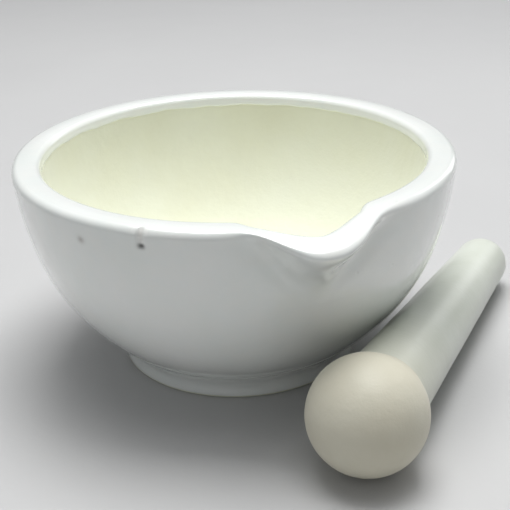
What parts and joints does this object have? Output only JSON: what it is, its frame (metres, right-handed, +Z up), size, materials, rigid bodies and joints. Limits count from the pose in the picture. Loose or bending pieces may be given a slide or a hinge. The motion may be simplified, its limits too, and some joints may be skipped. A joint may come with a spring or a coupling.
{
  "type": "mortar and pestle",
  "caption": "Thick porcelain grinding bowl with a foot ring and a pouring lip, and a separate pestle with a ball end that lies beside it.",
  "frame": {"origin": "on the mortar's axis, in the plane of its foot ring's face", "axes": "+Z up along the mortar's axis, -Y towards the pouring lip, +X to the side on which the pestle lies"},
  "size_m": [0.1879, 0.1846, 0.0744],
  "materials": {
    "white_glaze": "glossy white glaze over porcelain, over the outside, the rim and the lip; the grinding surface inside is bare and matte",
    "white_biscuit": "matte cream unglazed porcelain on the ball, thin satin glaze on the handle"
  },
  "bodies": {
    "mortar": {"mortar": "white_glaze"},
    "pestle": {"pestle": "white_biscuit"}
  },
  "joints": [
    {"name": "pestle_lift", "type": "slide", "parent": "mortar", "child": "pestle", "axis": [0.5035, -0.4965, 0.7071], "range_m": [0, 0.2]}
  ]
}
